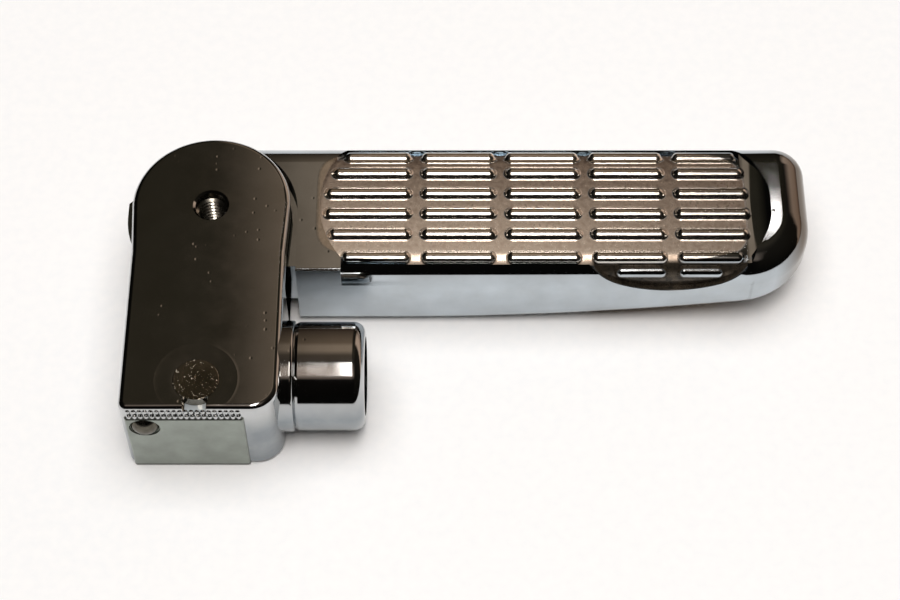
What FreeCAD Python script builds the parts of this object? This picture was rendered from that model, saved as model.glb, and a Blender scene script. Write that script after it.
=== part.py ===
import FreeCAD, Part
import Sketcher
import math
import os
import re

# Folding passenger footrest: a chromed fork with a side boss, and a ribbed peg that folds on a pivot.
# Frame: the origin is on the axis of the mounting bore, at the back of the arm, half way up its thickness.
# +X runs along the bore towards the tip of the peg, +Z is up, and the pivot axis is parallel to Z.

V = FreeCAD.Vector

SIZES = {
    # fork
    "arm_width": 28.6,
    "fork_thickness": 20.8,
    "cheek": 3.4,
    "head_radius": 14.9,
    "head_shift": 0.7,
    "arm_start": 10.0,
    "end_distance": 43.6,
    "back_corner": 1.6,
    "front_corner": 5.0,
    "rim_round": 1.1,
    # mounting boss, measured from the pivot axis
    "boss_drop": 31.0,
    "boss_reach": 29.3,
    "boss_diameter": 20.0,
    "boss_round": 2.2,
    "collar_diameter": 20.5,
    "collar_width": 2.2,
    "collar_round": 0.6,
    "collar_groove": 0.4,
    "mount_bore": 8.4,
    "head_bore": 14.6,
    "head_bore_depth": 9.0,
    # end block, its rivet and its screw
    "pocket_back": 13.4,
    "pocket_front": 8.0,
    "pocket_depth": 6.4,
    "block_proud": 0.4,
    "block_chamfer": 0.3,
    "fit_gap": 0.05,
    "rivet_shift": 0.6,
    "rivet_setback": 5.9,
    "rivet_head": 8.3,
    "rivet_shank": 4.6,
    "rivet_length": 7.0,
    "dish_diameter": 15.0,
    "dish_depth": 0.1,
    "notch_width": 5.4,
    "notch_mouth": 3.8,
    "notch_depth": 2.0,
    "screw_shift": 10.0,
    "screw_drop": 6.5,
    "screw_head": 5.2,
    "screw_dome": 1.5,
    "screw_sink": 0.5,
    "screw_head_gap": 0.2,
    "screw_shank": 3.2,
    "screw_length": 4.2,
    # pivot
    "sleeve_diameter": 10.0,
    "sleeve_seat": 1.2,
    "thread_major": 6.0,
    "thread_sink": 6.8,
    "pin_screw_head": 12.0,
    "pin_screw_clearance": 6.4,
    "pin_screw_engaged": 6.2,
    "pin_screw_tip": 0.4,
    "pin_screw_hex": 4.0,
    "pin_screw_hex_depth": 2.4,
    "bush_clearance": 0.04,
    "bush_wall": 1.4,
    "bush_flange": 0.8,
    "bush_flange_diameter": 18.0,
    "bush_split": 0.6,
    "side_gap": 0.1,
    "spring_height": 0.9,
    "spring_sheet": 0.5,
    "spring_diameter": 17.0,
    "spring_bore_gap": 0.2,
    # peg
    "heel_radius": 16.1,
    "heel_flat": 3.2,
    "floor_gap": 0.3,
    "shoulder_gap": 0.5,
    "neck_inset": 2.2,
    "knuckle_arch": 2.5,
    "peg_width": 30.0,
    "peg_shift": 1.9,
    "peg_top": 8.3,
    "peg_bottom": 9.9,
    "peg_reach": 112.9,
    "peg_corner": 13.0,
    "peg_far_corner": 6.0,
    "peg_shoulder": 5.5,
    "peg_keel_round": 2.4,
    "root_length": 24.5,
    "root_round": 0.5,
    "rise_length": 80.0,
    "rise_radius": 400.0,
    "rise_overrun": 1.0,
    # tread
    "tread_depth": 1.1,
    "tread_width": 26.4,
    "tread_shift": 0.2,
    "tread_start": 20.2,
    "tread_start_curve": 20.0,
    "tread_end": 105.6,
    "tread_end_curve": 16.5,
    "scoop_run": 5.4,
    "scoop_lift": 0.1,
    "lobe_place": 85.8,
    "lobe_radius": 22.0,
    "lobe_drop": 7.2,
    "rib_pitch": 4.62,
    "rib_shift": 0.6,
    "near_row": 11.95,
    "far_row": 12.3,
    "lobe_row": 15.3,
    "rib_radius": 1.3,
    "rib_sink": 0.1,
    "rib_foot": 0.9,
    "edge_foot": 0.1,
    "rib_bury": 0.03,
    "rib_root": 0.5,
    "rib_lead": 0.6,
    "rib_tail": 4.0,
    "rib_tail_curve": 36.0,
    "channel_first": 38.4,
    "channel_pitch": 16.0,
    "channel_width": 1.6,
}
FLAT_ROWS = (-1.5, -0.5, 0.5, 1.5)
CHANNELS = 4

doc = FreeCAD.newDocument("footrest")
sheet = doc.addObject("Spreadsheet::Sheet", "Sizes")
for row, (alias, size) in enumerate(SIZES.items(), 1):
    sheet.set("A%d" % row, alias)
    sheet.set("B%d" % row, str(size))
    sheet.setAlias("B%d" % row, alias)
doc.recompute()


def bound(text):
    """The same formula with each size named as a cell of the sheet."""
    return re.sub(r"[a-z_]+", lambda m: ("Sizes." if m[0] in SIZES else "") + m[0], text)


def value(text):
    """What a formula of sizes comes to, in millimetres."""
    return float(sheet.evalExpression(text))


def bind(thing, **formulas):
    """Tie properties of an object to formulas of sizes."""
    for name, text in formulas.items():
        thing.setExpression(name.replace("__", "."), bound(text))


# Formulas that several pieces share, all about the pivot axis at mid thickness
HALF = "fork_thickness / 2"
SLOT = "fork_thickness / 2 - cheek"
FLOOR = "heel_radius + floor_gap"
RIVET_BACK = "end_distance - rivet_setback"
KNUCKLE_TOP = "fork_thickness / 2 - cheek - side_gap - bush_flange"
KNUCKLE_FOOT = "cheek - fork_thickness / 2 + side_gap + spring_height + side_gap + bush_flange"
NEAR = "peg_width / 2 - peg_shift"
FAR = "peg_width / 2 + peg_shift"
BUSH_BORE = "sleeve_diameter / 2 + bush_clearance"


def new_body(label):
    """An empty body whose own origin is the pivot axis at mid thickness."""
    body = doc.addObject("PartDesign::Body", label)
    body.Label = label
    bind(body, Placement__Base__x="arm_width / 2", Placement__Base__y="boss_drop")
    return body


def new_sketch(body, name, plane, along="0", across="0", up="0"):
    """A sketch on an origin plane: moved along its normal, and across and up in its own directions."""
    sketch = body.newObject("Sketcher::SketchObject", name)
    role = plane + "_Plane"
    sketch.AttachmentSupport = [(f, "") for f in body.Origin.OriginFeatures if f.Role == role]
    sketch.MapMode = "FlatFace"
    bind(sketch, AttachmentOffset__Base__x=across, AttachmentOffset__Base__y=up)
    bind(sketch, AttachmentOffset__Base__z=along)
    return sketch


def datum(sketch, kind, geometry, text):
    """One dimension of a sketch, tied to a formula."""
    index = sketch.addConstraint(Sketcher.Constraint(kind, *geometry, value(text)))
    sketch.setExpression("Constraints[%d]" % index, bound(text))


def draw_outline(sketch, corners):
    """A closed outline. A corner is (x, y), or (x, y, radius) where a round stretch leads on from it.

    A positive radius bends to the left on the way to the next corner, and a negative one to the right.
    """
    spots = [V(value(c[0]), value(c[1]), 0) for c in corners]
    edges = []
    for i, corner in enumerate(corners):
        start, end = spots[i], spots[(i + 1) % len(spots)]
        if len(corner) == 2:
            edges.append((sketch.addGeometry(Part.LineSegment(start, end), False), 1, 2))
            continue
        left_turn = not corner[2].startswith("-")
        radius = value(corner[2].lstrip("-"))
        chord = end - start
        side = V(-chord.y, chord.x, 0).normalize() * (1 if left_turn else -1)
        middle = (start + end) / 2 + side * math.sqrt(max(radius ** 2 - (chord.Length / 2) ** 2, 0.0))
        bulge = middle - side * radius
        arc = Part.Arc(start, bulge, end) if left_turn else Part.Arc(end, bulge, start)
        ends = (1, 2) if left_turn else (2, 1)
        edges.append((sketch.addGeometry(arc, False), *ends))
    for i, here in enumerate(edges):
        before = edges[i - 1]
        sketch.addConstraint(Sketcher.Constraint("Coincident", before[0], before[2], here[0], here[1]))
    for i, corner in enumerate(corners):
        datum(sketch, "DistanceX", (-1, 1, edges[i][0], edges[i][1]), corner[0])
        datum(sketch, "DistanceY", (-1, 1, edges[i][0], edges[i][1]), corner[1])
        if len(corner) == 3:
            datum(sketch, "Radius", (edges[i][0],), corner[2].lstrip("-"))


def draw_rectangle(sketch, low_x, low_y, high_x, high_y):
    """A closed rectangle between two corners."""
    draw_outline(sketch, [(low_x, low_y), (high_x, low_y), (high_x, high_y), (low_x, high_y)])


def draw_circle(sketch, radius, x="0", y="0"):
    """A circle about a point of the sketch."""
    spot = V(value(x), value(y), 0)
    circle = sketch.addGeometry(Part.Circle(spot, V(0, 0, 1), value(radius)), False)
    datum(sketch, "Radius", (circle,), radius)
    datum(sketch, "DistanceX", (-1, 1, circle, 3), x)
    datum(sketch, "DistanceY", (-1, 1, circle, 3), y)


def add_feature(body, kind, name, sketch, length=None, both_ways=False, reverse=False):
    """A pad or pocket of a sketch, or a turned form about the sketch's own axis."""
    feature = body.newObject("PartDesign::" + kind, name)
    feature.Profile = sketch
    feature.Reversed = reverse
    if length:
        feature.SideType = "Symmetric" if both_ways else "One side"
        bind(feature, Length=length)
    body.Tip = feature
    return feature


def turn(body, kind, name, sketch, axis):
    """A full turn of a sketch about its horizontal or vertical axis."""
    feature = add_feature(body, kind, name, sketch)
    feature.ReferenceAxis = (sketch, [axis])
    feature.Angle = 360.0
    return feature


def round_edges(body, name, radius, chosen):
    """Round the edges of the body so far that a test picks."""
    doc.recompute()
    base = body.Tip
    picked = ["Edge%d" % (i + 1) for i, edge in enumerate(base.Shape.Edges) if chosen(edge)]
    fillet = body.newObject("PartDesign::Fillet", name)
    fillet.Base = (base, picked)
    bind(fillet, Radius=radius)
    body.Tip = fillet
    doc.recompute()
    return fillet


def level(edge, height):
    """True for an edge that lies flat at a height."""
    return all(abs(v.Z - height) < 1e-6 for v in edge.Vertexes) and abs(edge.CenterOfMass.z - height) < 1e-6


def make_fork():
    """The fork: outline with rounded rims, boss, slot for the knuckle, end pocket and bores."""
    body = new_body("fork")
    outline = new_sketch(body, "fork_outline", "XY")
    side = "arm_width / 2"
    draw_outline(outline, [
        ("head_radius", "head_shift", "head_radius"),
        ("0", "head_shift + head_radius", "head_radius"),
        ("-head_radius", "head_shift"),
        ("-" + side, "-arm_start"),
        ("-" + side, "back_corner - end_distance", "back_corner"),
        ("back_corner - " + side, "-end_distance"),
        (side + " - front_corner", "-end_distance", "front_corner"),
        (side, "front_corner - end_distance"),
        (side, "-arm_start"),
    ])
    add_feature(body, "Pad", "arm", outline, "fork_thickness", both_ways=True)
    half = value(HALF)
    round_edges(body, "rims", "rim_round", lambda e: level(e, half) or level(e, -half))

    # the boss and its collar are one turned form about the bore axis
    boss = new_sketch(body, "boss_profile", "XY", up="-boss_drop")
    collar = "arm_width / 2 + collar_width"
    draw_outline(boss, [
        ("0", "0"),
        ("boss_reach", "0"),
        ("boss_reach", "boss_diameter / 2 - boss_round", "boss_round"),
        ("boss_reach - boss_round", "boss_diameter / 2"),
        (collar + " + 2 * collar_groove", "boss_diameter / 2"),
        (collar, "boss_diameter / 2 - collar_groove"),
        (collar, "collar_diameter / 2 - collar_round", "collar_round"),
        (collar + " - collar_round", "collar_diameter / 2"),
        ("0", "collar_diameter / 2"),
    ])
    turn(body, "Revolution", "boss", boss, "H_Axis")

    slot = new_sketch(body, "slot_section", "YZ")
    draw_rectangle(slot, "-(%s)" % FLOOR, "-(%s)" % SLOT, "2 * head_radius", SLOT)
    add_feature(body, "Pocket", "slot", slot, "4 * heel_radius", both_ways=True)

    pocket = new_sketch(body, "end_pocket_outline", "XY", along=SLOT)
    draw_rectangle(pocket, "-pocket_back", "-2 * end_distance",
                   "pocket_front", "pocket_depth - end_distance")
    add_feature(body, "Pocket", "end_pocket", pocket, "fork_thickness")

    bore = new_sketch(body, "bore_circle", "YZ")
    draw_circle(bore, "mount_bore / 2", x="-boss_drop")
    add_feature(body, "Pocket", "bore", bore, "4 * boss_reach", both_ways=True)
    head = new_sketch(body, "head_bore_circle", "YZ", along="boss_reach")
    draw_circle(head, "head_bore / 2", x="-boss_drop")
    add_feature(body, "Pocket", "bolt_head_bore", head, "head_bore_depth")

    # tapped hole above, seat for the sleeve, and a countersunk hole below
    pivot = new_sketch(body, "pivot_profile", "XZ")
    sink = "(thread_sink - thread_major) / 2"
    cone = "(pin_screw_head - pin_screw_clearance) / 2"
    draw_outline(pivot, [
        ("0", "-(%s)" % HALF),
        ("pin_screw_head / 2", "-(%s)" % HALF),
        ("pin_screw_clearance / 2", "%s - (%s)" % (cone, HALF)),
        ("pin_screw_clearance / 2", "0"),
        ("sleeve_diameter / 2 + fit_gap", "0"),
        ("sleeve_diameter / 2 + fit_gap", SLOT + " + sleeve_seat"),
        ("thread_major / 2", SLOT + " + sleeve_seat"),
        ("thread_major / 2", "%s - %s" % (HALF, sink)),
        ("thread_sink / 2", HALF),
        ("0", HALF),
    ])
    turn(body, "Groove", "pivot_holes", pivot, "V_Axis")

    dish = new_sketch(body, "dish_profile", "XZ", along=RIVET_BACK, across="-rivet_shift")
    draw_outline(dish, [
        ("0", HALF + " - rivet_length - fit_gap"),
        ("rivet_shank / 2 + fit_gap", HALF + " - rivet_length - fit_gap"),
        ("rivet_shank / 2 + fit_gap", SLOT),
        ("rivet_head / 2 + fit_gap", SLOT),
        ("rivet_head / 2 + fit_gap", HALF + " - dish_depth"),
        ("dish_diameter - rivet_head / 2 - fit_gap", HALF + " + dish_depth"),
        ("0", HALF + " + dish_depth"),
    ])
    turn(body, "Groove", "rivet_dish", dish, "V_Axis")

    # the notch where the rivet's hole breaks out through the end of the arm
    notch = new_sketch(body, "notch_outline", "XY", along=HALF + " + dish_depth", across="-rivet_shift")
    inner = "-(%s) - rivet_head / 4" % RIVET_BACK
    draw_outline(notch, [
        ("-notch_mouth / 2", "-end_distance - rim_round"),
        ("notch_mouth / 2", "-end_distance - rim_round"),
        ("notch_width / 2", inner),
        ("-notch_width / 2", inner),
    ])
    add_feature(body, "Pocket", "notch", notch, "notch_depth + dish_depth")
    return body


def make_end_block():
    """The block in the open end of the arm, with a notch for the rivet and a sunk hole for its screw."""
    body = new_body("end_block")
    top = SLOT + " - fit_gap"
    outline = new_sketch(body, "block_outline", "XY", along=top)
    draw_rectangle(outline, "fit_gap - pocket_back", "-end_distance - block_proud",
                   "pocket_front - fit_gap", "pocket_depth - end_distance - fit_gap")
    add_feature(body, "Pad", "block", outline, "fork_thickness - cheek - fit_gap", reverse=True)
    face = -value("end_distance + block_proud")

    def on_face(edge):
        return all(abs(v.Y - face) < 1e-6 for v in edge.Vertexes)

    doc.recompute()
    base = body.Tip
    chamfer = body.newObject("PartDesign::Chamfer", "face_chamfer")
    chamfer.Base = (base, ["Edge%d" % (i + 1) for i, e in enumerate(base.Shape.Edges) if on_face(e)])
    bind(chamfer, Size="block_chamfer")
    body.Tip = chamfer
    doc.recompute()

    notch = new_sketch(body, "rivet_notch", "XY", along=HALF)
    draw_circle(notch, "rivet_shank / 2 + fit_gap", x="-rivet_shift", y="-(%s)" % RIVET_BACK)
    add_feature(body, "Pocket", "rivet_cut", notch, "rivet_length + fit_gap")

    # the screw's sunk hole, turned about an axis that runs into the face
    hole = new_sketch(body, "screw_hole_profile", "XY", along=HALF + " - screw_drop", across="-screw_shift",
                      up="-end_distance - block_proud")
    draw_outline(hole, [
        ("0", "0"),
        ("screw_head / 2 + screw_head_gap", "0"),
        ("screw_head / 2 + screw_head_gap", "screw_sink"),
        ("screw_shank / 2 + fit_gap", "screw_sink"),
        ("screw_shank / 2 + fit_gap", "screw_length + fit_gap"),
        ("0", "screw_length + fit_gap"),
    ])
    turn(body, "Groove", "screw_hole", hole, "V_Axis")
    return body


def make_block_rivet():
    """The headed pin, flush in the dish of the upper cheek, that keeps the block in its pocket."""
    body = new_body("block_rivet")
    profile = new_sketch(body, "rivet_profile", "XZ", along=RIVET_BACK, across="-rivet_shift")
    draw_outline(profile, [
        ("0", HALF + " - rivet_length"),
        ("rivet_shank / 2", HALF + " - rivet_length"),
        ("rivet_shank / 2", SLOT),
        ("rivet_head / 2", SLOT),
        ("rivet_head / 2", HALF + " - dish_depth", "dish_depth"),
        ("rivet_head / 2 - dish_depth", HALF),
        ("0", HALF),
    ])
    turn(body, "Revolution", "rivet", profile, "V_Axis")
    return body


def make_block_screw():
    """The round-headed screw in the end block, its dome just inside the face."""
    body = new_body("block_screw")
    profile = new_sketch(body, "screw_profile", "XY", along=HALF + " - screw_drop", across="-screw_shift",
                         up="-end_distance - block_proud")
    dome = "((screw_head / 2) ^ 2 + screw_dome ^ 2) / (2 * screw_dome)"
    draw_outline(profile, [
        ("0", "screw_sink - screw_dome", dome),
        ("screw_head / 2", "screw_sink"),
        ("screw_shank / 2", "screw_sink"),
        ("screw_shank / 2", "screw_length"),
        ("0", "screw_length"),
    ])
    turn(body, "Revolution", "screw", profile, "V_Axis")
    return body


def make_pivot_sleeve():
    """The tapped sleeve that the peg turns on, seated in the upper cheek."""
    body = new_body("pivot_sleeve")
    profile = new_sketch(body, "sleeve_profile", "XZ")
    draw_rectangle(profile, "thread_major / 2", "-(%s)" % SLOT,
                   "sleeve_diameter / 2", SLOT + " + sleeve_seat")
    turn(body, "Revolution", "sleeve", profile, "V_Axis")
    return body


def make_pivot_screw():
    """The countersunk screw in the lower cheek, its thread drawn as a plain shank."""
    body = new_body("pivot_screw")
    profile = new_sketch(body, "pin_screw_profile", "XZ")
    shoulder = "(pin_screw_head - thread_major) / 2"
    draw_outline(profile, [
        ("0", "-(%s)" % HALF),
        ("pin_screw_head / 2 - fit_gap", "-(%s)" % HALF),
        ("thread_major / 2 - fit_gap", "%s - (%s)" % (shoulder, HALF)),
        ("thread_major / 2 - fit_gap", "pin_screw_engaged - (%s) - pin_screw_tip" % SLOT),
        ("thread_major / 2 - fit_gap - pin_screw_tip", "pin_screw_engaged - (%s)" % SLOT),
        ("0", "pin_screw_engaged - (%s)" % SLOT),
    ])
    turn(body, "Revolution", "screw_body", profile, "V_Axis")
    hexagon = new_sketch(body, "hex_outline", "XY", along="-(%s)" % HALF)
    across = "pin_screw_hex / 2"
    point = "pin_screw_hex / sqrt(3)"
    draw_outline(hexagon, [
        (point, "0"),
        (point + " / 2", across),
        ("-%s / 2" % point, across),
        ("-" + point, "0"),
        ("-%s / 2" % point, "-" + across),
        (point + " / 2", "-" + across),
    ])
    add_feature(body, "Pocket", "hex_socket", hexagon, "pin_screw_hex_depth", reverse=True)
    return body


def make_bush(label, seat, way):
    """A flanged bush: its flange bears on one side of the knuckle at a height, and it runs in the bore."""
    body = new_body(label)
    profile = new_sketch(body, label + "_profile", "XZ")
    length = "((%s) - (%s) - bush_split) / 2" % (KNUCKLE_TOP, KNUCKLE_FOOT)
    outer = BUSH_BORE + " + bush_wall - fit_gap"
    corners = [
        (BUSH_BORE, "%s %s bush_flange" % (seat, way)),
        ("bush_flange_diameter / 2", "%s %s bush_flange" % (seat, way)),
        ("bush_flange_diameter / 2", seat),
        (outer, seat),
        (outer, "%s %s -%s" % (seat, way, length)),
        (BUSH_BORE, "%s %s -%s" % (seat, way, length)),
    ]
    draw_outline(profile, corners)
    turn(body, "Revolution", label + "_ring", profile, "V_Axis")
    return body


def make_disc_spring():
    """The coned friction washer between the lower flange and the lower cheek."""
    body = new_body("disc_spring")
    profile = new_sketch(body, "spring_profile", "XZ")
    inner = "sleeve_diameter / 2 + spring_bore_gap"
    foot = "side_gap - (%s)" % SLOT
    draw_outline(profile, [
        (inner, foot + " + spring_height - spring_sheet"),
        ("spring_diameter / 2", foot),
        ("spring_diameter / 2", foot + " + spring_sheet"),
        (inner, foot + " + spring_height"),
    ])
    turn(body, "Revolution", "spring_ring", profile, "V_Axis")
    return body


def make_peg_blank():
    """The peg before its tread is cut: body with rounded shoulders, rising keel, neck and knuckle."""
    body = new_body("peg_blank")
    outline = new_sketch(body, "peg_outline", "XY", along="-peg_bottom")
    draw_outline(outline, [
        ("0", "-(%s)" % NEAR),
        ("peg_reach - peg_corner", "-(%s)" % NEAR, "peg_corner"),
        ("peg_reach", "peg_corner - (%s)" % NEAR),
        ("peg_reach", "%s - peg_far_corner" % FAR, "peg_far_corner"),
        ("peg_reach - peg_far_corner", FAR),
        ("0", FAR),
    ])
    add_feature(body, "Pad", "peg_body", outline, "peg_top + peg_bottom")

    # the keel rises to the tip along an arc that leaves the flat underside without a kink
    keel = new_sketch(body, "keel_profile", "XZ")
    rise = "(rise_radius - sqrt(rise_radius ^ 2 - (rise_length + rise_overrun) ^ 2))"
    draw_outline(keel, [
        ("peg_reach - rise_length", "-peg_bottom", "rise_radius"),
        ("peg_reach + rise_overrun", rise + " - peg_bottom"),
        ("peg_reach + rise_overrun", "-2 * peg_bottom"),
        ("peg_reach - rise_length", "-2 * peg_bottom"),
    ])
    add_feature(body, "Pocket", "keel_rise", keel, "4 * peg_width", both_ways=True)
    top = value("peg_top")

    def on_back(edge):
        return all(abs(v.X) < 1e-6 for v in edge.Vertexes)

    round_edges(body, "shoulders", "peg_shoulder", lambda e: level(e, top) and not on_back(e))
    start = value("peg_reach - rise_length")
    bend = value("rise_radius")

    def keel_height(x):
        run = max(x - start, 0.0)
        return bend - math.sqrt(bend ** 2 - run ** 2) - value("peg_bottom")

    def under(edge):
        crosswise = edge.BoundBox.XLength < 1e-3 and edge.CenterOfMass.x < value("peg_reach") - 1e-3
        return not crosswise and all(abs(v.Z - keel_height(v.X)) < 1e-3 for v in edge.Vertexes)

    round_edges(body, "keel_edges", "peg_keel_round", under)

    # beside the fork the near edge stays square, with a small round
    root = new_sketch(body, "root_outline", "XY")
    draw_rectangle(root, "0", "-(%s)" % NEAR, "root_length", "0")
    add_feature(body, "Pad", "square_root", root, "peg_top")
    near_side = -value(NEAR)

    def on_near_edge(edge):
        return level(edge, top) and all(abs(v.Y - near_side) < 1e-6 for v in edge.Vertexes)

    round_edges(body, "root_edge", "root_round", on_near_edge)

    # clear of the round head of the fork, and of the straight arm beside it
    clear = "head_radius + head_shift + shoulder_gap"
    heel = new_sketch(body, "shoulder_outline", "XY")
    draw_outline(heel, [
        (clear, "0", clear),
        ("0", clear, clear),
        ("-(%s)" % clear, "0"),
        ("-(%s)" % clear, "-2 * peg_width"),
        (clear, "-2 * peg_width"),
    ])
    add_feature(body, "Pocket", "shoulder", heel, "4 * fork_thickness", both_ways=True)

    # the knuckle, with a flat that meets the slot floor when the peg is out, and one for when it is folded
    knuckle = new_sketch(body, "knuckle_outline", "XY", along=KNUCKLE_FOOT)
    side = NEAR + " - neck_inset"
    run_out = "heel_flat + heel_radius - (%s)" % side
    arch = "hypot(%s; %s)" % (side, run_out)
    reach = clear + " + peg_shoulder"
    draw_outline(knuckle, [
        ("-heel_radius", "0", "heel_radius"),
        ("0", "-heel_radius"),
        ("heel_flat", "-heel_radius"),
        (run_out, "-(%s)" % side),
        (reach, "-(%s)" % side),
        (reach, side),
        ("-(%s)" % run_out, side, arch),
        ("-(%s) - knuckle_arch" % run_out, side + " - knuckle_arch"),
        ("-heel_radius", "heel_flat"),
    ])
    add_feature(body, "Pad", "knuckle", knuckle, "(%s) - (%s)" % (KNUCKLE_TOP, KNUCKLE_FOOT))
    bore = new_sketch(body, "bush_bore_circle", "XY")
    draw_circle(bore, BUSH_BORE + " + bush_wall")
    add_feature(body, "Pocket", "bush_bore", bore, "4 * fork_thickness", both_ways=True)
    return body


def make_tread_cut():
    """What is cut away for the tread: its outline from above and the round lobe on the near side."""
    body = new_body("tread_outline_block")
    outline = new_sketch(body, "tread_outline", "XY")
    near = "peg_shift + tread_shift - tread_width / 2"
    far = "peg_shift + tread_shift + tread_width / 2"
    lead = "tread_start + tread_start_curve - sqrt(tread_start_curve ^ 2 - (tread_width / 2) ^ 2)"
    tail = "tread_end - tread_end_curve + sqrt(tread_end_curve ^ 2 - (tread_width / 2) ^ 2)"
    draw_outline(outline, [
        (lead, near),
        (tail, near, "tread_end_curve"),
        (tail, far),
        (lead, far, "tread_start_curve"),
    ])
    add_feature(body, "Pad", "tread_block", outline, "2 * peg_top")
    lobe = new_sketch(body, "lobe_circle", "XZ", along="tread_width / 2 - tread_shift - peg_shift - peg_shoulder / 2")
    draw_circle(lobe, "lobe_radius", x="lobe_place", y="peg_top - lobe_drop + lobe_radius")
    add_feature(body, "Pad", "lobe", lobe, "peg_shoulder * 2")
    return body


def make_tread_floor():
    """The core of the peg under the tread: the same section, one tread depth inside the skin."""
    body = new_body("tread_floor_block")
    section = new_sketch(body, "floor_section", "YZ")
    near = "tread_depth - (%s)" % NEAR
    far = "(%s) - tread_depth" % FAR
    top = "peg_top - tread_depth"
    bend = "peg_shoulder - tread_depth"
    draw_outline(section, [
        (near, "-peg_bottom"),
        (far, "-peg_bottom"),
        (far, "%s - (%s)" % (top, bend), bend),
        ("%s - (%s)" % (far, bend), top),
        ("%s + %s" % (near, bend), top, bend),
        (near, "%s - (%s)" % (top, bend)),
    ])
    add_feature(body, "Pad", "floor", section, "peg_reach")

    # at the tip the floor climbs to the lip in a hollow curve, which ends a little above the skin
    scoop = new_sketch(body, "scoop_profile", "XZ")
    climb = "(tread_depth + scoop_lift)"
    draw_outline(scoop, [
        ("tread_end - scoop_run", top, "(scoop_run ^ 2 + %s ^ 2) / (2 * %s)" % (climb, climb)),
        ("tread_end", "peg_top + scoop_lift"),
        ("peg_reach", "peg_top + scoop_lift"),
        ("peg_reach", "0"),
        ("tread_end - scoop_run", "0"),
    ])
    add_feature(body, "Pad", "scoop", scoop, "2 * peg_width", both_ways=True)
    return body


def rib_seat(along_skin):
    """Where a rib's axis lies across the peg and how it leans, for a distance along the skin."""
    sink = value("rib_sink + rib_radius")
    flat = value("peg_width / 2 - peg_shoulder")
    bend = value("peg_shoulder")
    over = max(abs(along_skin) - flat, 0.0) / bend
    across = min(abs(along_skin), flat) + (bend - sink) * math.sin(over)
    height = value("peg_top") - bend + (bend - sink) * math.cos(over)
    return math.copysign(across, along_skin), height, math.copysign(over, -along_skin)


def rib_section(sides, foot):
    """The section of a rib about its axis: round on top, with a hollow foot that runs out on the floor."""
    radius = value("rib_radius")
    floor = value("rib_sink + rib_radius - tread_depth - rib_bury")
    root = floor - value("rib_root")
    width = math.sqrt((radius + foot) ** 2 - (floor + foot) ** 2)
    lean = math.atan2(width, floor + foot)
    middle = math.atan2(math.sin(lean), math.cos(lean) + 1)

    def on_rib(angle):
        return V(0, radius * math.sin(angle), radius * math.cos(angle))

    def on_foot(angle):
        return V(0, width - foot * math.sin(angle), floor + foot - foot * math.cos(angle))

    crown, flank, toe, heel = on_rib(0), on_rib(lean), on_foot(0), V(0, width, root)
    edges = [
        Part.Arc(crown, on_rib(middle), flank).toShape(),
        Part.Arc(flank, on_foot(middle), toe).toShape(),
        Part.makeLine(toe, heel),
    ]
    if sides == 1:
        edges += [Part.makeLine(heel, V(0, 0, root)), Part.makeLine(V(0, 0, root), crown)]
    else:
        edges += [edge.mirror(V(0, 0, 0), V(0, 1, 0)) for edge in edges]
        edges.append(Part.makeLine(heel, V(0, -width, root)))
    return Part.Face(Part.Wire(Part.sortEdges(edges)[0]))


def rib_bar(start, end, across, height, lean):
    """One rib: a straight bar along the peg, with a half turn of its section at each end.

    A rib that leans over the near shoulder has next to no foot.
    """
    foot = value("edge_foot" if lean > 0 else "rib_foot")
    radius = value("rib_radius")
    length = end - start - 2 * radius
    bar = rib_section(2, foot).extrude(V(length, 0, 0))
    tail = rib_section(1, foot).revolve(V(0, 0, 0), V(0, 0, 1), 180)
    tip = rib_section(1, foot).revolve(V(0, 0, 0), V(0, 0, 1), -180)
    tip.translate(V(length, 0, 0))
    rib = bar.fuse([tail, tip]).removeSplitter()
    rib.rotate(V(0, 0, 0), V(1, 0, 0), math.degrees(lean))
    rib.translate(V(start + radius, across + value("peg_shift"), height))
    return rib


def rib_spans(across):
    """Where the ribs of one row start and end: from the curved start of the tread, between the channels."""
    bow = value("tread_start_curve")
    tail_bow = value("rib_tail_curve")
    start = value("tread_start + rib_lead") + bow - math.sqrt(bow ** 2 - across ** 2)
    end = value("tread_end - rib_tail") - tail_bow + math.sqrt(tail_bow ** 2 - across ** 2)
    return channel_spans(start, end)


def channel_spans(start, end):
    """Cut one row at the cross channels."""
    half = value("channel_width") / 2
    middles = [value("channel_first") + i * value("channel_pitch") for i in range(CHANNELS)]
    inside = [m for m in middles if start < m - half and m + half < end]
    starts = [start] + [m + half for m in inside]
    ends = [m - half for m in inside] + [end]
    return list(zip(starts, ends))


def make_ribs():
    """All ribs of the tread: six rows on top, and one in the lobe on the near side."""
    rows = [value("rib_shift") + row * value("rib_pitch") for row in FLAT_ROWS]
    rows += [-value("near_row"), value("far_row")]
    bars = []
    for row in rows:
        seat = rib_seat(row)
        bars += [rib_bar(start, end, *seat) for start, end in rib_spans(seat[0])]
    seat = rib_seat(-value("lobe_row"))
    lift = value("lobe_radius - lobe_drop + peg_top") - seat[1]
    half = math.sqrt(value("lobe_radius") ** 2 - lift ** 2) - value("rib_lead + rib_radius")
    place = value("lobe_place")
    bars += [rib_bar(start, end, *seat) for start, end in channel_spans(place - half, place + half)]
    ribs = doc.addObject("Part::Feature", "ribs")
    ribs.Shape = bars[0].fuse(bars[1:])
    ribs.Placement = FreeCAD.Placement(V(value("arm_width / 2"), value("boss_drop"), 0), FreeCAD.Rotation())
    return ribs


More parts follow.
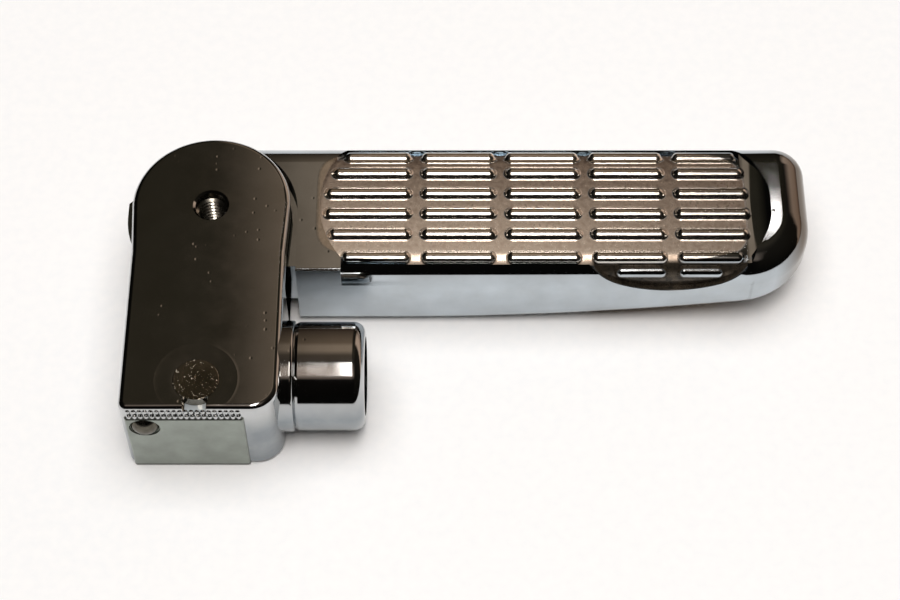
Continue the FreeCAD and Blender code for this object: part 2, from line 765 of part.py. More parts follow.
def make_peg():
    """The finished peg: the blank, less the skin over the tread, with the ribs standing on the floor."""
    blank = make_peg_blank()
    skin = doc.addObject("Part::Cut", "tread_skin")
    skin.Base = make_tread_cut()
    skin.Tool = make_tread_floor()
    cut = doc.addObject("Part::Cut", "cut_peg")
    cut.Base = blank
    cut.Tool = skin
    ribs = make_ribs()
    peg = doc.addObject("Part::Fuse", "peg")
    peg.Base = cut
    peg.Tool = ribs
    peg.Refine = True
    return peg


pieces = [
    make_fork(),
    make_end_block(),
    make_block_rivet(),
    make_block_screw(),
    make_pivot_sleeve(),
    make_pivot_screw(),
    make_bush("upper_bush", KNUCKLE_TOP, "+"),
    make_bush("lower_bush", KNUCKLE_FOOT, "-"),
    make_disc_spring(),
    make_peg(),
]
doc.recompute()

for thing in doc.Objects:
    if "Invalid" in thing.State or "Error" in thing.State:
        raise RuntimeError("%s did not build: %s" % (thing.Label, thing.State))
for piece in pieces:
    shape = piece.Shape
    if shape.isNull() or not shape.isValid() or len(shape.Solids) != 1:
        raise RuntimeError("%s is not one sound solid" % piece.Label)

os.makedirs("parts", exist_ok=True)
for piece in pieces:
    piece.Shape.exportStep("parts/%s.step" % piece.Label)
    box = piece.Shape.optimalBoundingBox(False, False)
    print("%-14s volume %9.1f  x %.2f..%.2f  y %.2f..%.2f  z %.2f..%.2f" % (
        piece.Label, piece.Shape.Volume, box.XMin, box.XMax, box.YMin, box.YMax, box.ZMin, box.ZMax))
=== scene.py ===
# %% [markdown]
# # A folding passenger footrest
# The part is a chromed fork that is bolted to the side of a motorbike, and a ribbed peg that folds on a
# pivot. The solids come from the construction model, and this script gives them their looks. It adds the
# thread in the pivot hole and the peened beads along the end of the arm, and sets up the studio.

# %% set-up
import math

import bpy
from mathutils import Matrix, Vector


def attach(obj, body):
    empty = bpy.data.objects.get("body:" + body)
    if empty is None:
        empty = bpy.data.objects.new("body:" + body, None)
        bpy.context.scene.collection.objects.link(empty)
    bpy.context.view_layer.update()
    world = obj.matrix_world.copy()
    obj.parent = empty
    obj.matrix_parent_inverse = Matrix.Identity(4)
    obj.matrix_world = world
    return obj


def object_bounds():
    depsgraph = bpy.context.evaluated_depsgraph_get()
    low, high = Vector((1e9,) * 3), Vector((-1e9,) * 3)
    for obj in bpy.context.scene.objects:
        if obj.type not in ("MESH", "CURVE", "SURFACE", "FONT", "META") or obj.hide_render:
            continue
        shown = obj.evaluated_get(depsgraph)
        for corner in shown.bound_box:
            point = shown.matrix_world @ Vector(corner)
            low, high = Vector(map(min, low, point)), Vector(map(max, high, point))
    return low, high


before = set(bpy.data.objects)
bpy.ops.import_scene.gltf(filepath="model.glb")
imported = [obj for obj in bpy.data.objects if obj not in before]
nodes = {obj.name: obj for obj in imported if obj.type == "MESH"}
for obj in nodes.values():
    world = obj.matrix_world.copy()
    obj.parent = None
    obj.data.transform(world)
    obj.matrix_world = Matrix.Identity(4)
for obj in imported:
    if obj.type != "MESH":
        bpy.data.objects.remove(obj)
cad_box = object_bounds()
MM = 0.001  # metres
print("nodes:", sorted(nodes))

# %% [markdown]
# ## Two small tools
# Colours are written as they are read off a screen, and one function turns them into linear values.
# The other adds a shader node. Its inputs are set to values or linked to what feeds them. It hands back one
# output, which the next node can take as an input.


# %% tools
def linear(code):
    """A screen colour such as #A0B1C2 as a linear colour with full opacity."""
    parts = [int(code[i:i + 2], 16) / 255 for i in (1, 3, 5)]
    return tuple(p / 12.92 if p <= 0.04045 else ((p + 0.055) / 1.055) ** 2.4 for p in parts) + (1.0,)


def put(tree, kind, inputs=None, output=0, **settings):
    """Add one shader node and hand back an output. An input is a value, or the socket that feeds it."""
    made = tree.nodes.new("ShaderNode" + kind)
    for name, setting in settings.items():
        setattr(made, name, setting)
    for name, given in (inputs or {}).items():
        if isinstance(given, bpy.types.NodeSocket):
            tree.links.new(given, made.inputs[name])
        else:
            made.inputs[name].default_value = given
    return made.outputs[output]


print("one screen grey is", round(linear("#808080")[0], 3), "in linear light")

# %% [markdown]
# ## The camera
# The photo looks down on the footrest from the side of the end block, with a long lens. The camera could be
# aimed by a constraint, but it has no turn to the side, so a place and one tilt are enough.

# %% camera
CAMERA_PLACE = (59.1 * MM, -202.7 * MM, 350.8 * MM)
TILT_FROM_PLUMB = math.radians(32)
camera_data = bpy.data.cameras.new("camera")
camera_data.sensor_width = 36.0
camera_data.lens = 88.0
camera = bpy.data.objects.new("camera", camera_data)
camera.location = CAMERA_PLACE
camera.rotation_euler = (TILT_FROM_PLUMB, 0, 0)
bpy.context.scene.collection.objects.link(camera)
bpy.context.scene.camera = camera
bpy.context.scene.view_settings.view_transform = "Standard"
print("camera at", tuple(round(c, 4) for c in camera.location))

# %% [markdown]
# ## The floor
# Chrome has next to no colour of its own, so what stands around it makes its look. The near faces mirror
# something pale in the photo, so a sheet of white paper lies under the part. Its fibres are too fine to show,
# so they are drawn in clumps, which keep the sheet from being one flat tone. It is so wide that the camera
# doesn't see its edge.

# %% floor
PART_MIDDLE = Vector((0.06, 0.03, 0))
FLOOR_WIDTH = 6.0
FIBRE_CLUMP_MM = 2.0
bpy.ops.mesh.primitive_grid_add(x_subdivisions=8, y_subdivisions=8, size=FLOOR_WIDTH,
                                location=(PART_MIDDLE.x, PART_MIDDLE.y, cad_box[0].z))
floor = bpy.context.object
floor.name = "floor"
paper = bpy.data.materials.new("white_paper")
paper.use_nodes = True
tree = paper.node_tree
shader = tree.nodes["Principled BSDF"]
shader.inputs["Roughness"].default_value = 0.9
place = put(tree, "TexCoord", output="Object")
fibres = put(tree, "TexNoise", {"Vector": place, "Scale": 1000 / FIBRE_CLUMP_MM, "Detail": 3.0})
level = put(tree, "MapRange", {"Value": fibres, "From Min": 0.3, "From Max": 0.7})
white = put(tree, "Mix", {"Factor": level, "A": linear("#F6F6F6"), "B": linear("#F2F3F4")}, "Result",
            data_type="RGBA")
tree.links.new(white, shader.inputs["Base Color"])
floor.data.materials.append(paper)
print("floor at", round(floor.location.z, 4))

# %% [markdown]
# ## The room
# The top faces mirror a dim brown room. It could be a box of walls, but it is seen in the chrome alone, so
# bands of colour in the world are enough. Each set of bands runs over the room from the horizon behind the
# part, at 0, to the horizon behind the camera, at 1.

# %% room
BANDS = {
    "dim": [(0.0, "#1A1610"), (0.27, "#2C281F"), (0.33, "#342F25"), (0.40, "#3A342B"), (0.50, "#2A2620"),
            (0.57, "#6A5E54"), (0.65, "#8A7A6E"), (0.71, "#0E0C0A"), (1.0, "#0A0908")],
    "tan": [(0.0, "#3A2F26"), (0.25, "#7A6856"), (0.30, "#A08C78"), (0.36, "#A08C78"), (0.42, "#5A4E42"),
            (0.52, "#4A4036"), (0.58, "#C8B4A4"), (0.65, "#B8A494"), (0.71, "#0E0C0A"), (1.0, "#0A0908")],
    "pink": [(0.0, "#8A7464"), (0.1, "#D0B49E"), (0.22, "#D0B49E"), (0.28, "#26221C"), (1.0, "#0A0908")],
}
world = bpy.data.worlds.new("room")
bpy.context.scene.world = world
world.use_nodes = True
tree = world.node_tree
way = put(tree, "SeparateXYZ", {"Vector": put(tree, "TexCoord", output="Generated")}).node.outputs
turn = put(tree, "Math", {0: way["Z"], 1: way["Y"]}, operation="ARCTAN2")
over_room = put(tree, "Math", {0: turn, 1: math.pi}, operation="DIVIDE")
strips = {}
for name, colours in BANDS.items():
    strips[name] = put(tree, "ValToRGB", {"Fac": over_room})
    stops = strips[name].node.color_ramp.elements
    while len(stops) < len(colours):
        stops.new(0.5)
    for stop, (share, code) in zip(stops, colours):
        stop.position = share
        stop.color = linear(code)
print("sets of bands:", len(strips))

# %% [markdown]
# The middle of the room is tan, as the tread and the root of the peg show it, and the rest is dim. A pink
# wall stands far to the right, where the end of the peg looks, and the far left is almost black. The limits
# are the X part of a direction: 0 is straight ahead, and 1 is straight to the right.

# %% room from left to right
from_left = put(tree, "MapRange", {"Value": way["X"], "From Min": -0.1, "From Max": -0.05})
from_right = put(tree, "MapRange", {"Value": way["X"], "From Min": 0.13, "From Max": 0.05})
middle = put(tree, "Math", {0: from_left, 1: from_right}, operation="MULTIPLY")
far_right = put(tree, "MapRange", {"Value": way["X"], "From Min": 0.3, "From Max": 0.45})
far_left = put(tree, "MapRange", {"Value": way["X"], "From Min": -0.2, "From Max": -0.4})
walls = strips["dim"]
for where, colour in ((middle, strips["tan"]), (far_right, strips["pink"]), (far_left, linear("#0C0B09"))):
    walls = put(tree, "Mix", {"Factor": where, "A": walls, "B": colour}, "Result", data_type="RGBA")
tree.links.new(walls, tree.nodes["Background"].inputs["Color"])
print("room: tan in the middle, pink at the right")

# %% [markdown]
# ## The lamps
# A lamp high on the camera's side draws the white lines along the ribs, and a small window lights the tip.
# They could be points of light, but only a lamp with some area shows well in a mirror. A wide soft light
# overhead makes the paper white. The photo shows no such light in the chrome, so mirrors skip it.


# %% lamps
def hang_lamp(name, size, watts, spot, colour):
    """A rectangular lamp at a place in metres, tipped forward or back to face the middle of the part."""
    data = bpy.data.lights.new(name, "AREA")
    data.shape = "RECTANGLE"
    data.size, data.size_y = size
    data.energy = watts
    data.color = linear(colour)[:3]
    lamp = bpy.data.objects.new(name, data)
    lamp.location = spot
    away = lamp.location - PART_MIDDLE
    lamp.rotation_euler = (math.atan2(-away.y, away.z), 0, 0)
    bpy.context.scene.collection.objects.link(lamp)
    return lamp


hang_lamp("lamp", (0.2, 0.6), 4.0, (0.088, -0.32, 1.148), "#FFF6EE")
hang_lamp("window", (0.010, 0.016), 0.008, (0.295, 0.697, 0.99), "#FFF2EA")
overhead = hang_lamp("overhead", (1.6, 1.6), 27.0, (PART_MIDDLE.x, PART_MIDDLE.y, 1.6), "#FFFFFF")
overhead.visible_glossy = False
print("lamps:", len(bpy.data.lights))

# %% [markdown]
# ## Starting a metal
# Every piece of the part is metal, so each material starts from the same shader, fully metallic. Patterns
# use Object coordinates, which are metres in the frame of the part, so that they keep their real size: the
# scale of a pattern is 1000 over its size in millimetres.


# %% metals
def start_metal(name):
    """A new metal: its material, node tree, shader and place coordinates."""
    material = bpy.data.materials.new(name)
    material.use_nodes = True
    tree = material.node_tree
    shader = tree.nodes["Principled BSDF"]
    shader.inputs["Metallic"].default_value = 1.0
    return material, tree, shader, put(tree, "TexCoord", output="Object")


def wear(node, material):
    """Give one solid of the part its finished material."""
    slots = nodes[node].data.materials
    slots.clear()
    slots.append(material)


print("solids to dress:", len(nodes))

# %% [markdown]
# ## Chrome plate
# The fork and the peg are castings under bright chrome, which to the eye is a mirror that bends a little.
# The plate follows the uneven casting, is duller in patches, and has small pits where it has begun to lift.
# The pits could be cut into the mesh, but they are too small for that, so a bump gives them.

# %% chrome
PATCH_MM = 9.0
RUB_MM = 3.0
CAST_WAVE_MM = 14.0
PIT_PITCH_MM = 2.2
PIT_CLUSTER_MM = 7.0


def make_chrome(name, bright, dull, wave, pits):
    """Chrome plate on a casting: uneven by a little, with duller patches and a few pits."""
    material, tree, shader, place = start_metal(name)
    patches = put(tree, "TexNoise", {"Vector": place, "Scale": 1000 / PATCH_MM, "Detail": 5.0})
    worn = put(tree, "MapRange", {"Value": patches, "From Min": 0.35, "From Max": 0.7})
    colour = put(tree, "Mix", {"Factor": worn, "A": linear(bright), "B": linear(dull)}, "Result",
                 data_type="RGBA")
    tree.links.new(colour, shader.inputs["Base Color"])
    rubs = put(tree, "TexNoise", {"Vector": place, "Scale": 1000 / RUB_MM, "Detail": 6.0})
    rough = put(tree, "MapRange", {"Value": rubs, "From Min": 0.3, "From Max": 0.75,
                                   "To Min": 0.05, "To Max": 0.09})
    tree.links.new(rough, shader.inputs["Roughness"])
    casting = put(tree, "TexNoise", {"Vector": place, "Scale": 1000 / CAST_WAVE_MM, "Detail": 0.0})
    swell = put(tree, "Bump", {"Height": casting, "Strength": wave, "Distance": 0.3 * MM})
    cells = put(tree, "TexVoronoi", {"Vector": place, "Scale": 1000 / PIT_PITCH_MM}, "Distance")
    dots = put(tree, "MapRange", {"Value": cells, "From Min": 0.16, "From Max": 0.05})
    clusters = put(tree, "TexNoise", {"Vector": place, "Scale": 1000 / PIT_CLUSTER_MM, "Detail": 3.0})
    few = put(tree, "MapRange", {"Value": clusters, "From Min": 0.5, "From Max": 0.6})
    depth = put(tree, "Math", {0: dots, 1: few}, operation="MULTIPLY")
    pit = put(tree, "Bump", {"Height": depth, "Strength": pits, "Distance": 0.1 * MM, "Normal": swell},
              invert=True)
    tree.links.new(pit, shader.inputs["Normal"])
    return material


fork_chrome = make_chrome("chrome_plate", "#C2C4C6", "#B6B7B6", 0.04, 0.12)
wear("fork", fork_chrome)
print("chrome on the fork")

# %% [markdown]
# Around the rivet the photo shows a soft ring of light, as if the plate swells there. It could be modelled,
# but it is under a tenth of a millimetre high, so it is a matter of shading and not of form: a bump gives it.


# %% swell around the rivet
def open_metal(material):
    """A metal made before: its node tree, shader and place coordinates."""
    tree = material.node_tree
    return tree, tree.nodes["Principled BSDF"], tree.nodes["Texture Coordinate"].outputs["Object"]


def fed_by(socket):
    """The socket that feeds an input now."""
    return socket.links[0].from_socket


tree, shader, place = open_metal(fork_chrome)
RIVET = (13.7 * MM, -6.7 * MM, 10.4 * MM)
SWELL_RIM, SWELL_TOP = 8.0 * MM, 3.4 * MM
reach = put(tree, "VectorMath", {0: place, 1: RIVET}, "Value", operation="DISTANCE")
hill = put(tree, "MapRange", {"Value": reach, "From Min": SWELL_RIM, "From Max": SWELL_TOP},
           interpolation_type="SMOOTHSTEP")
swell = put(tree, "Bump", {"Height": hill, "Strength": 1.0, "Distance": 0.07 * MM,
                           "Normal": fed_by(shader.inputs["Normal"])})
tree.links.new(swell, shader.inputs["Normal"])
print("swell around the rivet at", RIVET[:2])

# %% [markdown]
# Below the rivet its hole breaks out through the rim in a notch, which is painted a pale grey and less metal.
# The notch is part of the casting, so it needs no piece of its own, only a mask by its place. Each of its
# limits names an axis, where the mask is nothing and where it is full, in millimetres.

# %% pale notch
NOTCH_HALF = (1.95 * MM, 1.85 * MM)
NOTCH_LIMITS = (("Y", -9.0, -9.4), ("Z", 10.3, 10.2), ("Y", -12.35, -12.2))
spot = put(tree, "SeparateXYZ", {"Vector": place}).node.outputs
beside = put(tree, "Math", {0: spot["X"], 1: RIVET[0]}, operation="SUBTRACT")
beside = put(tree, "Math", {0: beside}, operation="ABSOLUTE")
notch = put(tree, "MapRange", {"Value": beside, "From Min": NOTCH_HALF[0], "From Max": NOTCH_HALF[1]})
for axis, none, full in NOTCH_LIMITS:
    limit = put(tree, "MapRange", {"Value": spot[axis], "From Min": none * MM, "From Max": full * MM})
    notch = put(tree, "Math", {0: notch, 1: limit}, operation="MULTIPLY")
plate = fed_by(shader.inputs["Base Color"])
# The notch is painted a pale grey.
colour = put(tree, "Mix", {"Factor": notch, "A": plate, "B": linear("#A8AEB0")}, "Result", data_type="RGBA")
tree.links.new(colour, shader.inputs["Base Color"])
metal = put(tree, "MapRange", {"Value": notch, "To Min": 1.0, "To Max": 0.2})
tree.links.new(metal, shader.inputs["Metallic"])
print("worn notch below the rivet")

# %% [markdown]
# The lower part of the fork, below 7 mm, is tinted a darker grey in uneven streaks; the top stays clear.
# The tint is thin, so it dims the mirror and does not hide it: a darker tint does that better than a rough
# layer.

# %% darker grey on the lower fork
TINT_TOP, TINT_FULL = 7.0 * MM, 1.0 * MM
STREAK_MM = 5.0
streaks = put(tree, "TexNoise", {"Vector": place, "Scale": 1000 / STREAK_MM, "Detail": 4.0})
uneven = put(tree, "MapRange", {"Value": streaks, "From Min": 0.2, "From Max": 0.6, "To Min": 0.6})
low = put(tree, "MapRange", {"Value": spot["Z"], "From Min": TINT_TOP, "From Max": TINT_FULL})
# A darker grey laid on the fork below 7 mm, by height alone.
lower_tint = put(tree, "Math", {0: low, 1: uneven}, operation="MULTIPLY")
plate = fed_by(shader.inputs["Base Color"])
colour = put(tree, "Mix", {"Factor": lower_tint, "A": plate, "B": linear("#8A9094")}, "Result", data_type="RGBA")
tree.links.new(colour, shader.inputs["Base Color"])
print("film on the fork under", TINT_TOP)

# %% [markdown]
# ## The tread
# Chrome plate is thin in the bottom of a recess, and no polishing wheel reaches it between the ribs. The
# floor of the tread therefore shows the warm, dull under-plate, and the ribs, which feet rub, are brightest.
# Faces could be picked one by one, but a mask follows the form better. It starts from how far a place lies
# under the skin of the peg, which is flat on top and round at the shoulders.

# %% depth under the skin
peg_chrome = make_chrome("chrome_plate_on_peg", "#BAC2C8", "#AAB0B4", 0.06, 0.12)
tree, shader, place = open_metal(peg_chrome)
TREAD_MIDDLE = (74.6 * MM, 32.9 * MM, 8.3 * MM)
FLAT_HALF = 9.5 * MM
SHOULDER = 5.5 * MM
off = put(tree, "VectorMath", {0: place, 1: TREAD_MIDDLE}, operation="SUBTRACT")
across = put(tree, "SeparateXYZ", {"Vector": off}).node.outputs
over = put(tree, "Math", {0: across["Y"]}, operation="ABSOLUTE")
over = put(tree, "Math", {0: over, 1: FLAT_HALF}, operation="SUBTRACT")
over = put(tree, "Math", {0: over, 1: 0.0}, operation="MAXIMUM")
square = put(tree, "Math", {0: over, 1: over}, operation="MULTIPLY")
fall = put(tree, "Math", {0: SHOULDER ** 2, 1: square}, operation="SUBTRACT")
fall = put(tree, "Math", {0: fall}, operation="SQRT")
skin = put(tree, "Math", {0: fall, 1: SHOULDER}, operation="SUBTRACT")
under = put(tree, "Math", {0: skin, 1: across["Z"]}, operation="SUBTRACT")
print("depth under a skin with shoulders of", SHOULDER)

# %% [markdown]
# From above, the tread is a rectangle with round corners. It could be put together from strips and discs, but
# a sum of sixth powers draws it in one formula: it is under 1 inside, and over 1 outside.

# %% tread floor mask
TREAD_HALF = (40.6 * MM, 12.6 * MM, 1.0 * MM)
FLOOR_DEPTH = (1.0 * MM, 1.08 * MM)
CORNER_POWER = 6.0
share = put(tree, "VectorMath", {0: off, 1: TREAD_HALF}, operation="DIVIDE")
sides = put(tree, "SeparateXYZ", {"Vector": share}).node.outputs
powers = []
for axis in ("X", "Y"):
    size = put(tree, "Math", {0: sides[axis]}, operation="ABSOLUTE")
    powers.append(put(tree, "Math", {0: size, 1: CORNER_POWER}, operation="POWER"))
total = put(tree, "Math", {0: powers[0], 1: powers[1]}, operation="ADD")
inside = put(tree, "MapRange", {"Value": total, "From Min": 1.02, "From Max": 0.94})
deep = put(tree, "MapRange", {"Value": under, "From Min": FLOOR_DEPTH[0], "From Max": FLOOR_DEPTH[1]})
dull = put(tree, "Math", {0: inside, 1: deep}, operation="MULTIPLY")
print("mask of the tread floor")

# %% [markdown]
# The lobe that the tread cuts into the near side has painted shade on its sunk floor, a dark brown colour.
# Its mask is a box around the lobe, less what lies on the skin. Each pair of limits is where the mask is
# nothing and where it is full.

# %% painted shade in the lobe
LOBE_MIDDLE = 26.0 * MM
LOBE_HALF = (15.5 * MM, 14.5 * MM)
LOBE_BACK = (-11.4 * MM, -12.2 * MM)
LOBE_FRONT = (-14.95 * MM, -14.8 * MM)
LOBE_DEPTH = (0.4 * MM, 0.7 * MM)
# Painted shade in the lobe: a box mask, less what lies on the skin.
beside = put(tree, "MapRange", {"Value": across["Y"], "From Min": LOBE_BACK[0], "From Max": LOBE_BACK[1]})
within = put(tree, "MapRange", {"Value": across["Y"], "From Min": LOBE_FRONT[0], "From Max": LOBE_FRONT[1]})
sunk = put(tree, "MapRange", {"Value": under, "From Min": LOBE_DEPTH[0], "From Max": LOBE_DEPTH[1]})
along = put(tree, "Math", {0: across["X"], 1: LOBE_MIDDLE}, operation="SUBTRACT")
along = put(tree, "Math", {0: along}, operation="ABSOLUTE")
along = put(tree, "MapRange", {"Value": along, "From Min": LOBE_HALF[0], "From Max": LOBE_HALF[1]})
near_side = put(tree, "Math", {0: beside, 1: within}, operation="MULTIPLY")
hollow = put(tree, "Math", {0: sunk, 1: along}, operation="MULTIPLY")
lobe_shade = put(tree, "Math", {0: near_side, 1: hollow}, operation="MULTIPLY")
under_plate_and_shade = put(tree, "Math", {0: dull, 1: lobe_shade}, operation="MAXIMUM")
print("mask of the dirt in the lobe")

# %% [markdown]
# The under-plate is a sandy brown with some grain. Over it lies painted shade at the far side and toward
# the tip, and painted light toward the near side. Feet have rubbed the ribs bright, and the end of the peg
# is darkened with painted shade. All this could be painted on a picture, but tones laid by place need no
# unwrapping. The real grain is finer, and is drawn as coarse as it needs to show.

# %% tread tones
GRAIN_MM = 0.9
TIP = (45.5 * MM, 51.0 * MM)
grain = put(tree, "TexNoise", {"Vector": place, "Scale": 1000 / GRAIN_MM, "Detail": 4.0})
sand = put(tree, "MapRange", {"Value": grain, "From Min": 0.3, "From Max": 0.7})
# Painted shade on the far side of the under-plate, and painted light on its near side.
far_shaded_tone = put(tree, "Mix", {"Factor": sand, "A": linear("#8A7868"), "B": linear("#58493E")}, "Result",
               data_type="RGBA")
near_lit_tone = put(tree, "Mix", {"Factor": sand, "A": linear("#E6D6C4"), "B": linear("#CAB4A0")}, "Result",
                data_type="RGBA")
toward_near = put(tree, "MapRange", {"Value": sides["Y"], "From Min": 0.9, "From Max": -0.9})
toward_root = put(tree, "MapRange", {"Value": sides["X"], "From Min": 0.0, "From Max": 0.95,
                                     "To Min": 1.0, "To Max": 0.45})
painted_light_share = put(tree, "Math", {0: toward_near, 1: toward_root}, operation="MULTIPLY")
under_plate_and_painted_light = put(tree, "Mix", {"Factor": painted_light_share, "A": far_shaded_tone, "B": near_lit_tone}, "Result", data_type="RGBA")
shade_mottle = put(tree, "MapRange", {"Value": grain, "From Min": 0.35, "From Max": 0.65})
# The dark tone of the painted shade in the lobe, mottled by the grain.
shade_tone = put(tree, "Mix", {"Factor": shade_mottle, "A": linear("#4E453A"), "B": linear("#2A2620")}, "Result",
           data_type="RGBA")
# Painted shade on the end of the peg.
tip_shade = put(tree, "MapRange", {"Value": across["X"], "From Min": TIP[0], "From Max": TIP[1]})
print("tones of the tread")

# %% [markdown]
# The tones go over each other in this order: plate, painted shade on the tip, rubbed ribs, under-plate
# with its painted light and shade, and painted shade in the lobe. The under-plate and the painted shade in
# the lobe are only partly metal to the eye, so they mirror less.

# %% tread colour
colour = fed_by(shader.inputs["Base Color"])
layers = ((tip_shade, linear("#6E645A")), (inside, linear("#F0ECE6")), (dull, under_plate_and_painted_light), (lobe_shade, shade_tone))
for where, tone in layers:
    colour = put(tree, "Mix", {"Factor": where, "A": colour, "B": tone}, "Result", data_type="RGBA")
tree.links.new(colour, shader.inputs["Base Color"])
metal = put(tree, "MapRange", {"Value": under_plate_and_shade, "To Min": 1.0, "To Max": 0.6})
tree.links.new(metal, shader.inputs["Metallic"])
print("layers of colour on the peg:", len(layers))

# %% [markdown]
# The ribs are satin from rubbing, and the floor is rougher still. Each could have a pattern of its own, but
# one grain gives both and a fine bump, so that colour, gloss and form agree.

# %% tread gloss
rubbed = put(tree, "MapRange", {"Value": grain, "From Min": 0.3, "From Max": 0.7,
                                "To Min": 0.16, "To Max": 0.24})
sandy = put(tree, "MapRange", {"Value": grain, "From Min": 0.3, "From Max": 0.7,
                               "To Min": 0.24, "To Max": 0.36})
rough = fed_by(shader.inputs["Roughness"])
for where, finish in ((inside, rubbed), (under_plate_and_shade, sandy)):
    rough = put(tree, "Mix", {"Factor": where, "A": rough, "B": finish}, "Result", data_type="FLOAT")
tree.links.new(rough, shader.inputs["Roughness"])
height = put(tree, "Math", {0: grain, 1: inside}, operation="MULTIPLY")
grit = put(tree, "Bump", {"Height": height, "Strength": 0.2, "Distance": 0.05 * MM,
                          "Normal": fed_by(shader.inputs["Normal"])})
tree.links.new(grit, shader.inputs["Normal"])
wear("peg", peg_chrome)
print("chrome on the peg, dull on the tread floor")

# %% [markdown]
# ## Satin metals
# The small pieces are machined or plated, and to the eye they have a fine grain and a broad sheen. Each could
# be made by hand, but they differ only in two tones, a roughness and the size of the grain, so one function
# serves them all. The grain is drawn coarser than it is, so that it shows.


# %% satin metals
def make_satin(name, light, dark, rough, grain_mm):
    """A dull plated or machined metal with fine grain."""
    material, tree, shader, place = start_metal(name)
    grain = put(tree, "TexNoise", {"Vector": place, "Scale": 1000 / grain_mm, "Detail": 6.0})
    level = put(tree, "MapRange", {"Value": grain, "From Min": 0.3, "From Max": 0.7})
    colour = put(tree, "Mix", {"Factor": level, "A": linear(light), "B": linear(dark)}, "Result",
                 data_type="RGBA")
    tree.links.new(colour, shader.inputs["Base Color"])
    sheen = put(tree, "MapRange", {"Value": grain, "From Min": 0.3, "From Max": 0.7,
                                   "To Min": rough, "To Max": rough + 0.15})
    tree.links.new(sheen, shader.inputs["Roughness"])
    bump = put(tree, "Bump", {"Height": grain, "Strength": 0.1, "Distance": 0.05 * MM})
    tree.links.new(bump, shader.inputs["Normal"])
    return material


# A soft, even grey with a slight green.
nickel = make_satin("satin_nickel", "#959B94", "#8A8F88", 0.3, 4.0)
# Dark and brownish, with a keen light on the rounds.
black_steel = make_satin("blackened_steel", "#6A665C", "#4C4942", 0.16, 1.2)
# Pale and a little blotched.
zinc = make_satin("zinc_plate", "#BEBDB8", "#9C9A92", 0.25, 1.5)
# Bright and smooth under its oil.
oiled = make_satin("oiled_steel", "#B4B4AE", "#8E8C84", 0.14, 1.5)
# Warm and yellow.
bronze = make_satin("bearing_bronze", "#B08A52", "#8E6B3A", 0.3, 1.5)
print("satin metals:", len((nickel, black_steel, zinc, oiled, bronze)))

# %% [markdown]
# The end block has a dark line of painted shade along its lower edge. The line could be a strip of its own,
# but it has no thickness, and the edge is level, so a mask by height is enough.

# %% painted shade along the foot of the block
SHADE_TOP, SHADE_FULL = -9.5 * MM, -10.1 * MM
tree, shader, place = open_metal(nickel)
height = put(tree, "SeparateXYZ", {"Vector": place}, "Z")
# Painted shade: a dark line along the foot of the end block.
foot_shade_mask = put(tree, "MapRange", {"Value": height, "From Min": SHADE_TOP, "From Max": SHADE_FULL})
plate = fed_by(shader.inputs["Base Color"])
foot_shade = put(tree, "Mix", {"Factor": foot_shade_mask, "A": plate, "B": linear("#4C504C")}, "Result", data_type="RGBA")
tree.links.new(foot_shade, shader.inputs["Base Color"])
print("stain along the foot of the block")

# %% [markdown]
# The rivet head was hammered, so its plate is browned and full of small dents that catch the light.
# They are far smaller than the head, so a bump from a fine pattern gives them, cut off where it is low.

# %% rivet
DENT_MM = 0.45
scuffed = make_chrome("scuffed_chrome", "#D8D2C8", "#8A8478", 0.2, 0.3)
tree, shader, place = open_metal(scuffed)
blows = put(tree, "TexNoise", {"Vector": place, "Scale": 1000 / DENT_MM, "Detail": 2.0})
hits = put(tree, "MapRange", {"Value": blows, "From Min": 0.6, "From Max": 0.76})
dents = put(tree, "Bump", {"Height": hits, "Strength": 1.0, "Distance": 0.1 * MM,
                           "Normal": fed_by(shader.inputs["Normal"])}, invert=True)
tree.links.new(dents, shader.inputs["Normal"])
print("dents on the rivet")

# %% [markdown]
# The block is satin nickel and its screw is blackened. The sleeve is oiled steel, the screw and the spring of
# the pivot are zinc-plated, and the bushes are bearing bronze. A table of pieces and metals is the shortest
# way to dress them, and the easiest to change.

# %% small pieces
finishes = {"end_block": nickel, "block_screw": black_steel, "block_rivet": scuffed, "pivot_sleeve": oiled,
            "pivot_screw": zinc, "disc_spring": zinc, "upper_bush": bronze, "lower_bush": bronze}
for node, metal in finishes.items():
    wear(node, metal)
print("small pieces dressed:", len(finishes))

# %% [markdown]
# ## The thread in the pivot hole
# A screw thread is one ridge wound up the wall of the hole. It could be a bump, but light has to catch its
# crests. Its section is a flat-topped triangle, and a screw modifier winds it one millimetre up for each
# turn. The sizes are in millimetres.

# %% thread
PIVOT = (14.3, 31.0)
THREAD_FOOT = 0.6
THREAD_SECTION = [(3.1, -0.46), (2.46, -0.08), (3.1, 0.46), (2.46, 0.08)]
THREAD_PITCH = 1.0
THREAD_TURNS = 8
bpy.ops.object.select_all(action="DESELECT")
bpy.ops.mesh.primitive_plane_add(size=MM)
thread = bpy.context.object
thread.name = "pivot_thread"
for vertex, (reach, lift) in zip(thread.data.vertices, THREAD_SECTION):
    vertex.co = (reach * MM, 0, lift * MM)
wind = thread.modifiers.new("wind", "SCREW")
wind.axis = "Z"
wind.screw_offset = THREAD_PITCH * MM
wind.iterations = THREAD_TURNS
wind.steps = 48
bpy.ops.object.modifier_apply(modifier="wind")
print("thread wound:", len(thread.data.polygons), "faces")

# %% [markdown]
# The winding leaves its two ends open. They are the only open edges, so they can be picked as such and
# filled. Then the thread goes to its place in the hole, and rides with the bracket as the sleeve does.

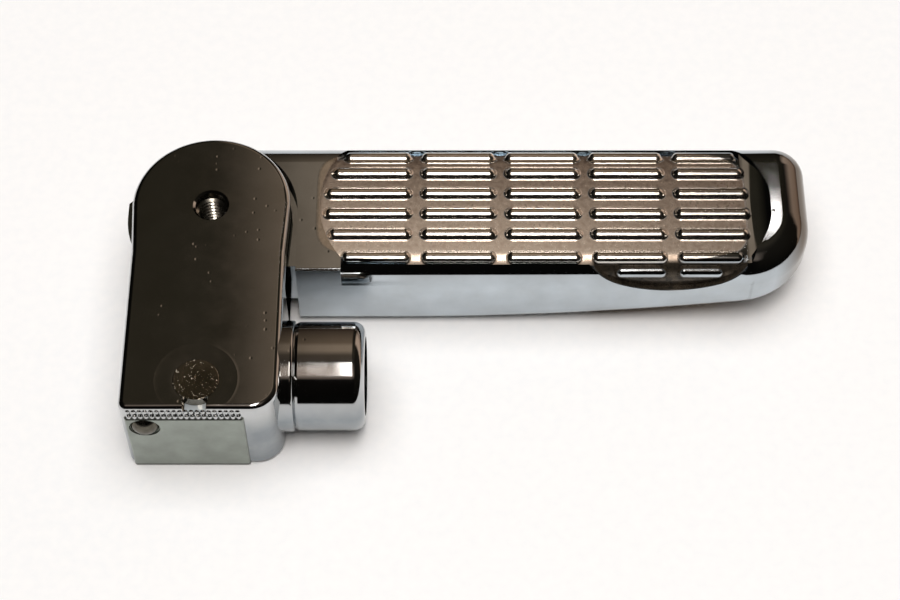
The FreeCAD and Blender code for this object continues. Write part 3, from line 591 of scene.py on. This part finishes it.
# %% thread ends and place
bpy.ops.object.mode_set(mode="EDIT")
bpy.ops.mesh.select_mode(type="EDGE")
bpy.ops.mesh.select_all(action="DESELECT")
bpy.ops.mesh.select_non_manifold()
bpy.ops.mesh.fill()
bpy.ops.mesh.select_all(action="SELECT")
bpy.ops.mesh.normals_make_consistent(inside=False)
bpy.ops.object.mode_set(mode="OBJECT")
thread.location = (PIVOT[0] * MM, PIVOT[1] * MM, THREAD_FOOT * MM)
bpy.ops.object.transform_apply(location=True)
bpy.ops.object.shade_smooth_by_angle(angle=math.radians(30))
thread.data.materials.append(oiled)
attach(thread, "bracket")
print("thread faces:", len(thread.data.polygons))

# %% [markdown]
# ## The peened seam
# The edge of the cheek and the edge of the block are peened together, and each blow of the tool leaves a
# bead. Beads could be set one by one, but they stand at even steps. So one bead is a small ball pressed flat,
# an array repeats it, and a shake makes the blows uneven. The sizes are in millimetres.

# %% seam beads
BEAD_HALVES = (0.47, 0.36, 0.6)
BEAD_COUNT = 20
BEAD_PITCH = 1.03
BEAD_SHAKE = 0.06


def make_beads(name, start, seed):
    """A row of small uneven beads along X, from a place in millimetres."""
    bpy.ops.object.select_all(action="DESELECT")
    bpy.ops.mesh.primitive_uv_sphere_add(segments=12, ring_count=8, radius=MM)
    row = bpy.context.object
    row.name = name
    row.scale = BEAD_HALVES
    bpy.ops.object.transform_apply(scale=True)
    repeat = row.modifiers.new("repeat", "ARRAY")
    repeat.use_relative_offset = False
    repeat.use_constant_offset = True
    repeat.constant_offset_displace = (BEAD_PITCH * MM, 0, 0)
    repeat.count = BEAD_COUNT
    bpy.ops.object.modifier_apply(modifier="repeat")
    bpy.ops.object.mode_set(mode="EDIT")
    bpy.ops.mesh.select_all(action="SELECT")
    bpy.ops.transform.vertex_random(offset=BEAD_SHAKE * MM, seed=seed)
    bpy.ops.object.mode_set(mode="OBJECT")
    row.location = [value * MM for value in start]
    bpy.ops.object.transform_apply(location=True)
    bpy.ops.object.shade_smooth()
    row.data.materials.append(fork_chrome)
    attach(row, "bracket")
    return row


upper_beads = make_beads("upper_seam_beads", (1.8, -12.6, 9.0), 3)
lower_beads = make_beads("lower_seam_beads", (1.9, -12.75, 7.5), 8)
print("beads:", len(upper_beads.data.polygons) + len(lower_beads.data.polygons), "faces")
